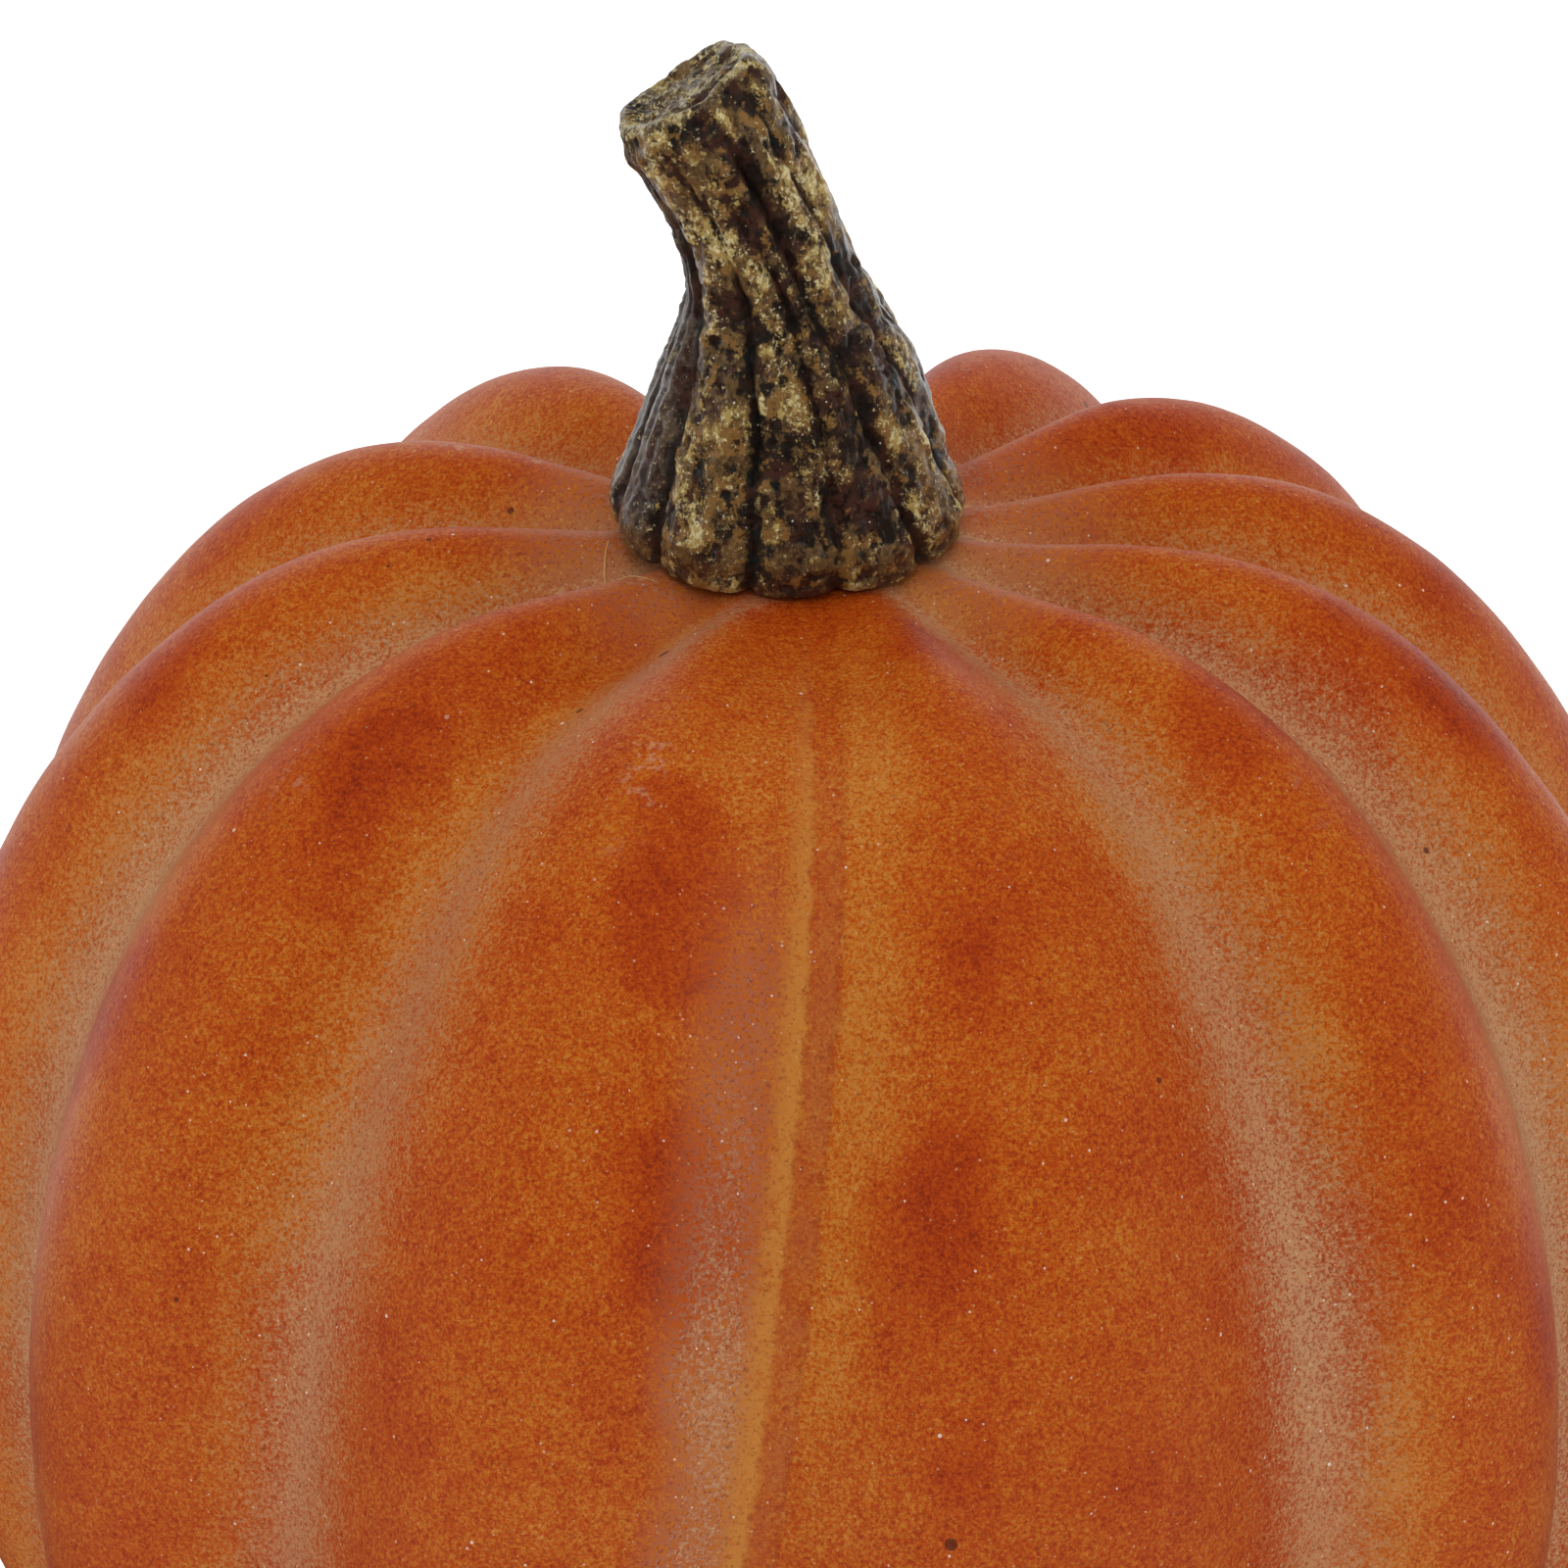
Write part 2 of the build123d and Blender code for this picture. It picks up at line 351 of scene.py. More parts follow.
def paint_shell(piece, points, radius, height, angle, share, inner):
    """Where each colour lies on the shell, as numbers per vertex for its material."""
    def bumps(size, seed):
        return lattice(points, size * MM, seed)

    turned = turn_between(np.degrees(angle), 0)
    front = np.abs(turned) < 90
    level = height / MM
    past_stem = smooth(30 * MM, 100 * MM, radius)
    wide = layers(points, (1.1, 46 * MM, 11), (0.9, 24 * MM, 12), (0.5, 11 * MM, 13))

    # the mould seam runs down the front and back grooves
    seam = np.full(radius.shape, 1.0)
    for groove in (FRONT_GROOVE, BACK_GROOVE):
        off = off_groove(angle, radius, groove)
        seam = np.where(np.abs(off) < np.abs(seam), off, seam)
    seam_share = smooth(0.75, 1.0, share) * (0.12 + 0.88 * past_stem) * np.where(front, 1.0, 0.5)

    # the red of the lobes, with darker and barer patches torn at their edges
    tone = 0.50 + 0.075 * wide + 0.05 * smooth(0.6, 0.0, share) * smooth(60, 105, level)
    ragged = np.stack([bumps(9, seed) for seed in (15, 16, 17)], axis=-1)
    torn = (points / MM + 2.6 * ragged) * np.array([1, 1, 0.55])
    dark = patches(torn, 20, 24) * (0.55 + 0.45 * smooth(0.8, 0.3, share))
    barer = patches(torn, 18, 25) * (0.45 + 0.55 * smooth(0.1, 0.5, share))
    tone = tone + 0.20 * dark - 0.15 * barer
    # painted shade: the crown is darkened just in front of the stem, where the stem shades it
    tone = tone + 0.16 * smooth(48 * MM, 26 * MM, radius) * smooth(60, 25, np.abs(turned + 6)) * (height > 0)
    tone = tone + 0.06 * smooth(85, 40, level) - 0.05

    # tan along every groove without a seam; on the two beside the front seam it drifts towards the seam
    away = np.full(radius.shape, 99.0)
    outward = np.zeros(radius.shape)
    bare = np.zeros(radius.shape)
    for groove, at in enumerate(GROOVES):
        if groove in (FRONT_GROOVE, BACK_GROOVE):
            continue
        off = off_groove(angle, radius, groove) / MM
        if groove == LEFT_GROOVE:
            off = off - 4 * smooth(-30, 20, level) - 5 * smooth(30, 85, level)
        if groove == RIGHT_GROOVE:
            off = off + 2 * smooth(40, 85, level)
        off = off / np.clip(radius / MM / 105, 0.32, 1)
        nearer = np.abs(off) < np.abs(away)
        away = np.where(nearer, off, away)
        bare = np.where(nearer, BARENESS.get(groove, BARE), bare)
        outward = np.where(nearer, off * np.sign(at) * (abs(at) < 120), outward)
    drift = bumps(50, 18)
    patchy = bumps(38, 19)
    sides = smooth(72, 98, np.abs(turned))
    tan = bare * (0.82 + 0.26 * drift) * (1 - 0.34 * smooth(76, 110, level) * smooth(64, 44, np.abs(turned)))
    tan = np.clip(tan * (1 - sides * (0.16 + 0.50 * patchy)), 0, 1)
    away = away * (1 + sides * (0.25 - 0.35 * patchy))

    # ochre beside the tan, right of the front seam and under the shell
    ochre = smooth(19, 5, np.abs(away) - 3.5 * np.sign(outward)) * (1 - 0.3 * smooth(96, 112, level))
    ochre = ochre * (0.80 + 0.35 * bumps(33, 14))
    right = smooth(1.5 * MM, 3.5 * MM, seam) * smooth(16 * MM, 6 * MM, seam)
    right = right * front * (0.25 + 0.75 * past_stem)
    ochre = np.maximum(ochre, 0.78 * right * (0.35 + 0.65 * smooth(30, 62, level + 9 * wide)))
    ochre = np.maximum(ochre, 0.8 * smooth(-70, -104, level + 7 * wide))

    # painted sheen: a pale reflection painted left of the front seam, and round the crown away from the front
    haze = smooth(-23 * MM, -8 * MM, seam + 3 * MM * wide) * smooth(-3.0 * MM, -8.5 * MM, seam) * front
    haze = haze * (0.25 + 0.46 * smooth(66, 24, level)) * smooth(114, 84, level)
    haze = haze * (1 + 0.50 * bumps(19, 21))
    tan_and_sheen = 0.32 * smooth(56 * MM, 28 * MM, radius) * (inner == 0) * (height > 0)
    tan_and_sheen = tan_and_sheen * smooth(20, 55, np.abs(turned))
    haze = np.maximum(haze, tan_and_sheen * (0.8 + 0.5 * drift))

    # chips on the ridges near the crown, and bare clay inside and on the ground foot
    chipped = smooth(0.03, 0.0, share) * smooth(96, 108, level) * smooth(118, 112, radius / MM)
    chipped = chipped * patches(points, 26 * MM, 26)
    inside = np.maximum(inner, smooth(-103.5, -106, level + 0.6 * wide) * 0.85)
    store(piece, tone=tone, ochre=ochre, tan=tan, away=np.abs(away), haze=haze)
    store(piece, seam=seam, seam_share=seam_share, chipped=chipped, inside=inside)


def build_shell():
    """The hollow lobed casting: its outside, the rims of both holes and its inside, as one closed skin."""
    radius, height, angle, share, inner = shell_grid()
    points = np.stack([radius * np.sin(angle), -radius * np.cos(angle), EQUATOR_Z + height], axis=-1)
    outside = smooth(SEAT_RADIUS, CREST_RADIUS, radius) * (inner == 0)
    sway = layers(points, (0.9 * MM, 70 * MM, 3), (0.35 * MM, 26 * MM, 4), (0.12 * MM, 9 * MM, 5))
    direction = points - np.array([0, 0, EQUATOR_Z])
    direction /= np.linalg.norm(direction, axis=-1, keepdims=True)
    points = points + direction * (sway * outside)[..., None]
    points[..., 2] = np.maximum(points[..., 2], BASE_Z)
    piece = grid_mesh("pumpkin_shell", points, wrap_rows=True)
    paint_shell(piece, points, radius, height, angle, share, inner)
    return piece


# ---- stem, in millimetres -------------------------------------------------------------------------
def furrowed(along, turned):
    """For each row and column of the stem: how far across its rib, nearby strength, and crease depth."""
    knots = (0, 0.55, 1)
    angles = np.stack([np.interp(along, knots, f[:3]) for f in FURROWS], axis=1)
    power = np.stack([np.interp(along, knots, f[3:]) for f in FURROWS], axis=1)
    gap = turn_between(turned[:, :, None], angles[:, None, :])
    before = np.argmin(np.where(gap >= 0, gap, 999), axis=2)
    after = (before + 1) % len(FURROWS)
    left = np.take_along_axis(gap, before[..., None], 2)[..., 0]
    right = -np.take_along_axis(gap, after[..., None], 2)[..., 0]
    across = (left - right) / (left + right)
    rows = np.arange(len(along))[:, None]
    near = np.where(left < right, power[rows, before], power[rows, after])
    blend = smooth(-1, 1, across)
    strength = power[rows, before] * (1 - blend) + power[rows, after] * blend
    return across, strength, np.minimum(left, right), near


def build_stem():
    """The bent stem with its ribs, toes, cut end and spigot, as one closed skin."""
    along = np.linspace(0, 1, STEM_ROWS)
    places = np.linspace(0, 1, len(STATIONS))
    degrees = np.arange(STEM_COLUMNS) * 360 / STEM_COLUMNS
    turned = turn_between(degrees, 0)
    around = np.radians(degrees)
    kernel = np.hanning(2 * EASING + 1)
    kernel /= kernel.sum()
    eased = []
    for values in STATIONS.T:
        line = np.pad(np.interp(along, places, values), EASING, mode="reflect", reflect_type="odd")
        eased.append(np.convolve(line, kernel, mode="valid"))
    height, offset, radius, tilt = (column[:, None] for column in eased)
    lean = np.radians(tilt)
    climb = height / height[-1]
    skin = np.stack(np.broadcast_arrays(np.sin(around) * radius, -np.cos(around) * radius, height), axis=-1)

    # ribs, with a broken crease between each two and rounded toes at the foot
    wander = lattice(skin * np.array([0.6, 0.6, 1]), 8, 30)
    across, strength, gap, near = furrowed(climb[:, 0], degrees + 3.0 * wander)
    sideways = np.radians(gap) * radius
    low = 1 - smooth(0.05, 0.30, climb)
    top = smooth(0.84, 0.97, climb)
    rim = smooth(0.9, 0.97, climb)
    ends = smooth(0, 0.03, climb)
    broken = 0.62 + 0.55 * lattice(skin * np.array([0.7, 0.7, 0.8]), 6, 29)
    crease = near * broken * (1 - 0.75 * top) * np.exp(-(sideways / (0.8 + 0.3 * low)) ** 1.6)
    toes = 0.6 * low * np.sin(math.pi * np.clip(climb / 0.14, 0, 1)) * (1 - np.abs(across) ** 2)

    # carved relief, drawn out along the stem; the left side is smoother, with fine ribs
    drawn = skin * np.array([1, 1, 0.5])
    lumps = lattice(drawn, 5.2, 31)
    knobs = lattice(drawn * np.array([1, 1, 1.5]), 2.3, 32)
    grain = lattice(drawn * np.array([1.6, 1.6, 0.8]), 1.5, 33)
    grit = lattice(skin, 0.9, 34)
    pits = smooth(0.30, 0.75, lattice(skin, 1.9, 35))
    cuts = lattice(skin * np.array([0.35, 0.35, 1]), 1.5, 36)
    cuts = smooth(0.55, 0.85, cuts) * smooth(0.1, 0.5, lattice(drawn, 7, 37))
    relief = 0.8 * lumps + 0.5 * knobs + 0.26 * grain + 0.16 * grit - 0.55 * pits - 0.4 * cuts
    fine_ribs = np.sin(around * FINE_RIBS + 2.5 * lattice(drawn, 9, 38))
    left_side = smooth(-150, -125, turned) * (1 - smooth(-62, -48, turned))
    relief = relief * (1 - 0.45 * left_side) + 0.25 * fine_ribs * left_side * smooth(0.05, 0.2, climb)

    # how far each point stands from the centre line
    reach = radius * (1 - (0.075 - 0.035 * low) * (1 - 0.8 * top) * strength * np.abs(across) ** 2.4)
    reach = reach - (1.2 + 0.3 * low) * crease + toes + relief * (0.35 + 0.65 * ends) * 0.85
    reach = reach + 1.2 * (1 - smooth(0, 0.045, climb))
    reach = reach + rim * (0.3 + 1.0 * lattice(drawn * np.array([1, 1, 0]) + 9, 6.0, 39))
    reach = reach + 1.5 * smooth(0.55, 0.85, climb) * np.maximum(0, np.sin(around))
    reach = reach - 1.1 * smooth(0.94, 1.0, climb) ** 2
    x = reach * np.sin(around)
    y = -reach * np.cos(around)
    sink = 0.9 * rim * lattice(drawn * np.array([1, 1, 0]) + 4, 7.0, 40)
    lift = (1 - smooth(0, 0.035, climb)) * (0.5 * np.abs(across) ** 3 + 0.3 * crease)
    points = np.stack([
        -FOOT_OFFSET / MM - offset + x * np.cos(lean) - sink * np.sin(lean),
        y,
        STEM_Z / MM + height + x * np.sin(lean) + sink * np.cos(lean),
    ], axis=-1)
    points[..., 2] += lift

    # the flat under the foot and the spigot below it
    foot = points[:1].copy()
    foot[..., 0] = -FOOT_OFFSET / MM + SPIGOT_RADIUS * np.sin(around)
    foot[..., 1] = -SPIGOT_RADIUS * np.cos(around)
    foot[..., 2] = STEM_Z / MM
    spigot = foot.copy()
    spigot[..., 2] -= SPIGOT_LENGTH
    tip = [spigot.mean(axis=1, keepdims=True) * (1 - s) + spigot * s for s in (0.02, 0.5)]

    # the cut end, dished and rough, with its hole
    end = points[-1].mean(axis=0)
    upward = np.array([-math.sin(lean[-1, 0]), 0, math.cos(lean[-1, 0])])
    caps, dents = [], []
    for s in np.cos(np.linspace(0.12, math.pi / 2 - 0.02, CAP_RINGS)):
        ring = end + (points[-1:] - end) * s
        edge = smooth(0.62, 0.9, s)
        dish = -1.7 * (1 - edge) + 1.5 * math.sqrt(1 - max(0, 1 - (1 - s) / 0.13) ** 2)
        bumps = layers(ring[0], (0.9, 4.5, 41), (0.5, 2.0, 42), (0.25, 0.9, 43))
        hole = (ring[0] - (end + HOLE_PLACE)) / HOLE_RADIUS
        dent = -HOLE_DEPTH * np.exp(-(hole[:, 0] ** 2 + hole[:, 1] ** 2) ** 1.2)
        dents.append(np.clip(-dent / HOLE_DEPTH, 0, 1) ** 1.5)
        caps.append(ring + ((dish + bumps * (1 - edge) + dent)[:, None] * upward)[None])
    points = np.concatenate(tip + [spigot, foot, points] + caps) * MM
    piece = grid_mesh("pumpkin_stem", points, wrap_rows=False)

    def padded(values, start, finish):
        """The values, with start for the spigot's and foot's rows before them and finish for the cut end."""
        before = np.full((len(tip) + 2, STEM_COLUMNS), start)
        return np.concatenate([before, values, np.broadcast_to(finish, (len(caps), STEM_COLUMNS))])

    dabs = 0.75 * patches(drawn, 4.6, 45) + 0.25 * patches(drawn, 2.8, 46)
    gild = dabs * (1 - 0.8 * left_side) + 0.25 * smooth(0.93, 1.0, climb)
    left_side = left_side * smooth(0.02, 0.12, climb) * (1 - 0.6 * smooth(0.7, 0.9, climb))
    store(
        piece,
        relief=padded(relief + 0.35 * toes - 0.25, 0.0, 0.8 * lattice(np.concatenate(caps), 2.6, 44)),
        crease=padded(crease, 0.0, np.stack(dents)),
        gild=padded(gild, 0.0, 0.6),
        left_side=padded(left_side, 0.0, 0.5),
    )
    return piece


# ---- glue and felt ----------------------------------------------------------------------------------
def circle(count):
    """Points on a unit circle, from the front towards +X."""
    around = np.arange(count) * 2 * math.pi / count
    return np.stack([np.sin(around), -np.cos(around), 0 * around], axis=-1)


def build_glue():
    """The glue bed under the stem's foot, squeezed out unevenly, with a sleeve down the socket."""
    rim = circle(180)
    swell = layers(rim * 20, (1, 7, 51), (0.5, 3, 52))
    socket = SOCKET_RADIUS / MM
    lowest = SEAT_Z / MM
    points = []
    for radius, z in (
        (SLEEVE_INSIDE, -SLEEVE_LENGTH),
        (SLEEVE_OUTSIDE, -SLEEVE_LENGTH),
        (SLEEVE_OUTSIDE, -SLEEVE_LENGTH / 2),
        (socket, -0.2),
    ):
        points.append(rim * radius + np.array([0, 0, lowest + z]))
    edge = BED_RADIUS + 1.5 * swell
    for share, z in BED_PROFILE:
        radius = socket + (edge - socket) * share
        middle = np.array([-FOOT_OFFSET / MM * min(1, share * 1.2), 0, lowest + z])
        points.append(rim * radius[:, None] + middle + np.array([0, 0, 0.12]) * swell[:, None])
    points.append(rim * SLEEVE_INSIDE + np.array([0, 0, lowest + BOND / MM]))
    return grid_mesh("stem_glue", np.stack(points) * MM, wrap_rows=True)


def build_hair(shell):
    """A thread of glue drawn out beside the foot, lying on the shell."""
    rise = np.linspace(0, 1, THREAD_STEPS)
    around = np.radians(THREAD_FROM + (THREAD_TO - THREAD_FROM) * rise)
    reach = STATIONS[:, 2].max() + THREAD_GAP + THREAD_BOW * np.sin(math.pi * rise)
    bpy.context.view_layer.update()
    line = []
    for x, y in zip(-FOOT_OFFSET / MM + reach * np.sin(around), -reach * np.cos(around)):
        _, point, _, _ = shell.ray_cast(Vector((x * MM, y * MM, 2 * SEAT_Z)), Vector((0, 0, -1)))
        line.append((x, y, point.z / MM + THREAD_WIDTH))
    line = np.array(line)
    turn = np.arange(8) * math.pi / 4
    ring = np.stack([np.cos(turn), 0 * turn, np.sin(turn)], axis=-1)
    width = THREAD_WIDTH * np.sin(math.pi * np.linspace(0.03, 0.97, len(line))) ** 0.3
    points = line[:, None] + ring[None] * width[:, None, None]
    return grid_mesh("glue_hair", points * MM, wrap_rows=False)


def build_pad(number):
    """One felt foot with a soft, slightly ragged edge."""
    low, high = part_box(f"foot_pad_{number}")
    middle = np.array([(low.x + high.x) / 2, (low.y + high.y) / 2, 0]) / MM
    radius = (high.x - low.x) / 2 / MM
    thick = (high.z - low.z) / MM
    rim = circle(120)
    ragged = layers(rim * radius + middle, (1, 1.1, 60 + number), (0.5, 0.5, 70 + number))
    points = []
    for share, z in PAD_PROFILE:
        reach = radius * share + 0.22 * ragged * (share > 0.9)
        points.append(rim * reach[:, None] + middle + np.array([0, 0, z * thick]))
    return grid_mesh(f"felt_pad_{number}", np.stack(points) * MM, wrap_rows=False)


# ---- paint ----------------------------------------------------------------------------------------
class Paint:
    """A material whose colour, roughness and bump come from small node expressions."""

    def __init__(self, name):
        self.material = bpy.data.materials.new(name)
        self.material.use_nodes = True
        self.tree = self.material.node_tree
        self.shader = self.tree.nodes["Principled BSDF"]
        self.place = self.node("ShaderNodeTexCoord").outputs["Object"]

    def node(self, kind, **settings):
        made = self.tree.nodes.new(kind)
        for key, value in settings.items():
            setattr(made, key, value)
        return made

    def put(self, socket, value):
        if isinstance(value, bpy.types.NodeSocket):
            self.tree.links.new(value, socket)
        elif isinstance(value, (tuple, list)) and len(value) == 3 and socket.type == "RGBA":
            socket.default_value = (*value, 1)
        else:
            socket.default_value = value

    def math(self, operation, *values, clamp=False):
        made = self.node("ShaderNodeMath", operation=operation, use_clamp=clamp)
        for socket, value in zip(made.inputs, values):
            self.put(socket, value)
        return made.outputs[0]

    def sum(self, *terms):
        total = terms[0]
        for term in terms[1:]:
            total = self.math("ADD", total, term)
        return total

    def times(self, a, b):
        return self.math("MULTIPLY", a, b)

    def line(self, value, gain, start):
        """gain times value, plus start."""
        return self.math("MULTIPLY_ADD", value, gain, start)

    def held(self, name):
        return self.node("ShaderNodeAttribute", attribute_name=name).outputs["Fac"]

    def step(self, value, low, high):
        """0 at low, 1 at high, and smooth between; low may be the larger."""
        made = self.node("ShaderNodeMapRange", interpolation_type="SMOOTHSTEP")
        flip = low > high
        limits = (min(low, high), max(low, high), float(flip), float(not flip))
        for socket, limit in zip(made.inputs, (value, *limits)):
            self.put(socket, limit)
        return made.outputs[0]

    def noise(self, size, detail=2.0, roughness=0.5, stretch=None, shift=0.0, distortion=0.0):
        """Noise from 0 to 1 with bumps about size metres across."""
        made = self.node("ShaderNodeTexNoise")
        place = self.place
        if stretch or shift:
            mapping = self.node("ShaderNodeMapping")
            mapping.inputs["Scale"].default_value = stretch or (1, 1, 1)
            mapping.inputs["Location"].default_value = (shift, 0.7 * shift, -0.4 * shift)
            self.put(mapping.inputs["Vector"], place)
            place = mapping.outputs[0]
        self.put(made.inputs["Vector"], place)
        made.inputs["Scale"].default_value = 1 / size
        made.inputs["Detail"].default_value = detail
        made.inputs["Roughness"].default_value = roughness
        made.inputs["Distortion"].default_value = distortion
        return made.outputs[0]

    def dots(self, size, share, radius, seed):
        """1 inside small round dots, in a share of the cells of size metres, and 0 outside."""
        made = self.node("ShaderNodeTexVoronoi")
        mapping = self.node("ShaderNodeMapping")
        mapping.inputs["Location"].default_value = (seed, 2 * seed, 3 * seed)
        self.put(mapping.inputs["Vector"], self.place)
        self.put(made.inputs["Vector"], mapping.outputs[0])
        made.inputs["Scale"].default_value = 1 / size
        parts = self.node("ShaderNodeSeparateColor")
        self.put(parts.inputs[0], made.outputs["Color"])
        chosen = self.math("LESS_THAN", parts.outputs[0], share)
        wide = self.line(parts.outputs[1], radius / size, 0.5 * radius / size)
        return self.times(chosen, self.math("LESS_THAN", made.outputs["Distance"], wide))

    def mix(self, share, a, b, blend="MIX"):
        made = self.node("ShaderNodeMix", data_type="RGBA", blend_type=blend)
        self.put(made.inputs[0], share)
        self.put(made.inputs[6], a)
        self.put(made.inputs[7], b)
        return made.outputs[2]

    def over(self, color, share, strength, paint):
        """A paint laid over a colour, as thick as share times strength."""
        return self.mix(self.times(share, strength), color, paint)

    def ramp(self, value, stops):
        made = self.node("ShaderNodeValToRGB")
        ramp = made.color_ramp
        ramp.elements[0].position, ramp.elements[0].color = stops[0][0], (*stops[0][1], 1)
        ramp.elements[1].position, ramp.elements[1].color = stops[-1][0], (*stops[-1][1], 1)
        for position, color in stops[1:-1]:
            ramp.elements.new(position).color = (*color, 1)
        self.put(made.inputs[0], value)
        return made.outputs[0]

    def finish(self, color, roughness, bump=None, depth=0.0002):
        self.put(self.shader.inputs["Base Color"], color)
        self.put(self.shader.inputs["Roughness"], roughness)
        if bump is not None:
            made = self.node("ShaderNodeBump")
            made.inputs["Strength"].default_value = 1.0
            made.inputs["Distance"].default_value = depth
            self.put(made.inputs["Height"], bump)
            self.put(self.shader.inputs["Normal"], made.outputs[0])
        return self.material


def orange_paint():
    """Airbrushed orange and red-brown over ochre, satin, with a fine spatter."""
    p = Paint("airbrushed_orange")
    tone = p.held("tone")
    ochre = p.held("ochre")
    seam = p.held("seam")
    cloud = p.noise(0.016, 3, 0.55)
    fine = p.noise(0.0042, 3, 0.6, shift=3.0)
    grain = p.noise(0.00060, 2, 0.8, shift=5.0, distortion=0.5)
    grit = p.noise(0.0013, 2, 0.65, shift=7.0, distortion=0.5)
    seam = p.sum(seam, p.line(grit, 0.0024, -0.0012), p.line(fine, 0.0030, -0.0015))
    band = p.times(p.step(seam, -0.0026, -0.0006), p.step(seam, 0.0034, 0.0014))
    band = p.times(band, p.times(p.held("seam_share"), p.step(p.noise(0.012, 3, 0.6, shift=8.0), 0.25, 0.60)))
    wide = p.sum(p.line(cloud, 0.36, -0.18), p.line(fine, 0.34, -0.17))
    close = p.sum(p.line(p.step(grain, 0.30, 0.70), 0.60, -0.30), p.line(grit, 0.56, -0.28))
    speckle = p.times(close, p.line(p.step(tone, 1.40, 0.10), 1.0, 0.15))
    value = p.sum(tone, wide, speckle, p.times(ochre, -0.30))
    paint = p.ramp(value, AIRBRUSH)
    spread = p.sum(p.held("away"), p.times(wide, 9.0), p.times(close, 24.0))
    core = p.times(p.step(spread, 7.0, 1.5), p.held("tan"))
    skirt = p.times(p.times(p.step(spread, 14.0, 4.5), 0.36), p.held("tan"))
    tan_and_sheen = p.math("MAXIMUM", core, skirt)
    # painted sheen: the stored sheen, scattered, is laid on as tan together with the tan paint of the grooves
    haze = p.held("haze")
    scatter = p.sum(p.times(close, 2.2), p.times(wide, 0.7))
    drift = p.math("MULTIPLY_ADD", scatter, p.step(haze, 0.0, 0.45), haze, clamp=True)
    tan_and_sheen = p.math("MAXIMUM", tan_and_sheen, drift)
    plum = p.times(p.step(tan_and_sheen, 0.0, 0.45), p.step(tan_and_sheen, 0.90, 0.45))
    color = p.mix(tan_and_sheen, paint, TAN)
    color = p.over(color, plum, 0.26, PLUM)
    color = p.over(color, p.times(band, p.step(p.held("seam_share"), 0.45, 1.0)), 0.50, SEAM_RUB)
    edge = p.sum(
        p.times(p.step(seam, -0.0027, -0.0022), p.step(seam, -0.0014, -0.0020)),
        p.times(p.step(seam, 0.0016, 0.0021), p.step(seam, 0.0029, 0.0024)),
    )
    edge = p.times(p.times(edge, p.held("seam_share")), p.step(p.sum(grit, fine), 0.70, 1.15))
    color = p.over(color, edge, 0.36, SEAM_EDGE)
    stripe = p.times(p.step(seam, -0.0084, -0.0044), p.step(seam, -0.0012, -0.0030))
    broken = p.sum(p.times(grit, 1.2), p.times(fine, 0.8), p.times(cloud, 0.5))
    stripe = p.times(stripe, p.step(broken, 0.75, 1.30))
    color = p.over(color, p.times(stripe, p.held("seam_share")), 0.95, SEAM_STRIPE)
    dark = p.step(p.noise(0.00055, 2, 0.7, shift=11.0), 0.55, 0.66)
    color = p.over(color, dark, p.line(tan_and_sheen, 0.20, 0.50), DARK_SPECK)
    pale = p.dots(0.0012, 0.40, 0.00015, 9.0)
    color = p.over(color, pale, p.line(tan_and_sheen, 0.6, 0.40), PALE_SPECK)
    dust = p.math("MAXIMUM", p.dots(0.0022, 0.50, 0.00015, 2.0), p.dots(0.0060, 0.45, 0.00023, 5.0))
    dust = p.times(dust, p.step(p.sum(cloud, p.times(tan_and_sheen, 0.6)), 0.30, 0.62))
    color = p.over(color, dust, 0.75, DUST)
    mark = p.dots(0.0060, 0.03, 0.0007, 13.0)
    color = p.over(color, mark, 0.75, FRECKLE)
    bare = p.times(p.times(p.held("chipped"), p.step(grit, 0.46, 0.60)), p.step(fine, 0.48, 0.60))
    color = p.over(color, bare, 0.35, CHIP)
    inside = p.held("inside")
    clay = p.ramp(p.noise(0.006, 4, 0.6, shift=2.0), CLAY)
    color = p.mix(inside, color, clay)
    rough = p.sum(p.line(grain, 0.20, 0.30), p.times(fine, 0.10))
    bump = p.sum(p.times(grain, 0.6), p.times(grit, 0.5), p.times(fine, 0.6))
    p.shader.inputs["Specular IOR Level"].default_value = 0.15
    p.shader.inputs["Sheen Weight"].default_value = 0.03
    p.shader.inputs["Sheen Roughness"].default_value = 0.35
    return p.finish(color, rough, bump, 0.00022)


